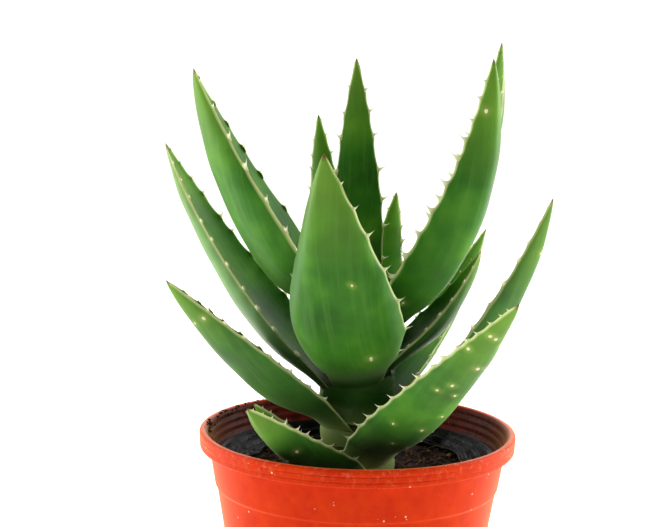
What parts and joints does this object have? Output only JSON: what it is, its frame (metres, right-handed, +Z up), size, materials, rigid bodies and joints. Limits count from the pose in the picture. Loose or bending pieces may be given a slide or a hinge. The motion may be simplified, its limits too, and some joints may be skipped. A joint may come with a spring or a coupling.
{
  "type": "potted aloe plant",
  "caption": "Young aloe in a round tapered plastic nursery pot: thick pointed toothed leaves in a rosette on a short stem, set in dark soil inside a black inner pot.",
  "frame": {"origin": "middle of the pot's underside, on the pot's axis", "axes": "+Z up along the pot's axis; -Y towards the front leaf"},
  "size_m": [0.1581, 0.1933, 0.2736],
  "materials": {
    "pot_plastic": "satin",
    "liner_black_plastic": "satin",
    "potting_soil": "matte",
    "stem_skin": "matte",
    "leaf_skin": "satin"
  },
  "bodies": {
    "root": {"pot": "pot_plastic", "inner_pot": "liner_black_plastic", "potting_soil": "potting_soil", "stem": "stem_skin", "leaf_01": "leaf_skin", "leaf_02": "leaf_skin", "leaf_03": "leaf_skin", "leaf_04": "leaf_skin", "leaf_05": "leaf_skin", "leaf_06": "leaf_skin", "leaf_07": "leaf_skin", "leaf_08": "leaf_skin", "leaf_09": "leaf_skin", "leaf_10": "leaf_skin", "leaf_11": "leaf_skin", "leaf_12": "leaf_skin", "leaf_13": "leaf_skin", "leaf_14": "leaf_skin", "leaf_15": "leaf_skin", "leaf_16": "leaf_skin", "leaf_17": "leaf_skin", "leaf_18": "leaf_skin"}
  },
  "joints": []
}
